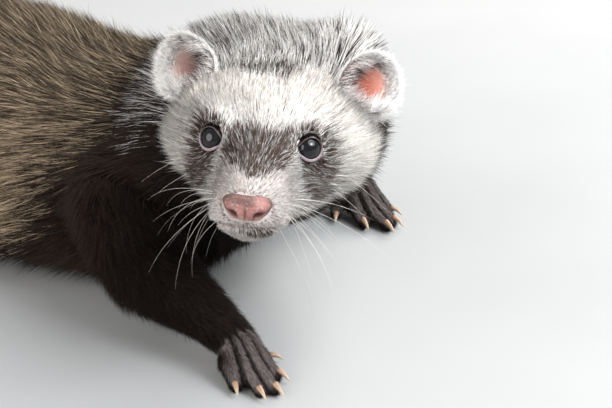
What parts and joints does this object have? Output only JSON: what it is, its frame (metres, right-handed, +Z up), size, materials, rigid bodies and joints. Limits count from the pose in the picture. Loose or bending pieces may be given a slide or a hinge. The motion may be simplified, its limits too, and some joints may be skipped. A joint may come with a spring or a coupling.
{
  "type": "ferret",
  "caption": "Life-size ferret lying low on the floor with its forelegs stretched forward and its head turned to its right.",
  "frame": {"origin": "on the floor, under the middle of the whole", "axes": "+Z up; the trunk lies along Y and faces -Y; the animal's left side is +X; millimetres in the source, metres here"},
  "size_m": [0.1278, 0.3728, 0.0834],
  "materials": {
    "face_fur": "short fur, cream with a brown mask",
    "dark_fur": "fur, brown-black",
    "flank_fur": "fur, cream undercoat with dark guard hairs",
    "ear": "thin skin, pink inside, with short fur on the rim",
    "nose": "bare damp skin",
    "eye": "wet gloss",
    "claw": "horn"
  },
  "bodies": {
    "root": {"neck": "dark_fur", "chest": "dark_fur", "belly": "flank_fur", "hips": "flank_fur", "tail_root": "dark_fur", "tail_tip": "dark_fur", "lower_jaw": "face_fur", "head": "face_fur", "nose": "nose", "left_eye": "eye", "left_ear": "ear", "right_eye": "eye", "right_ear": "ear", "right_upper_arm": "dark_fur", "right_forearm": "dark_fur", "right_thigh": "dark_fur", "right_shin": "dark_fur", "right_forepaw": "dark_fur", "right_hindfoot": "dark_fur", "right_forepaw_claw_1": "claw", "right_forepaw_claw_2": "claw", "right_forepaw_claw_3": "claw", "right_forepaw_claw_4": "claw", "right_forepaw_claw_5": "claw", "right_hindfoot_claw_1": "claw", "right_hindfoot_claw_2": "claw", "right_hindfoot_claw_3": "claw", "right_hindfoot_claw_4": "claw", "right_hindfoot_claw_5": "claw", "left_upper_arm": "dark_fur", "left_forearm": "dark_fur", "left_thigh": "dark_fur", "left_shin": "dark_fur", "left_forepaw": "dark_fur", "left_hindfoot": "dark_fur", "left_forepaw_claw_1": "claw", "left_forepaw_claw_2": "claw", "left_forepaw_claw_3": "claw", "left_forepaw_claw_4": "claw", "left_forepaw_claw_5": "claw", "left_hindfoot_claw_1": "claw", "left_hindfoot_claw_2": "claw", "left_hindfoot_claw_3": "claw", "left_hindfoot_claw_4": "claw", "left_hindfoot_claw_5": "claw"}
  },
  "joints": []
}
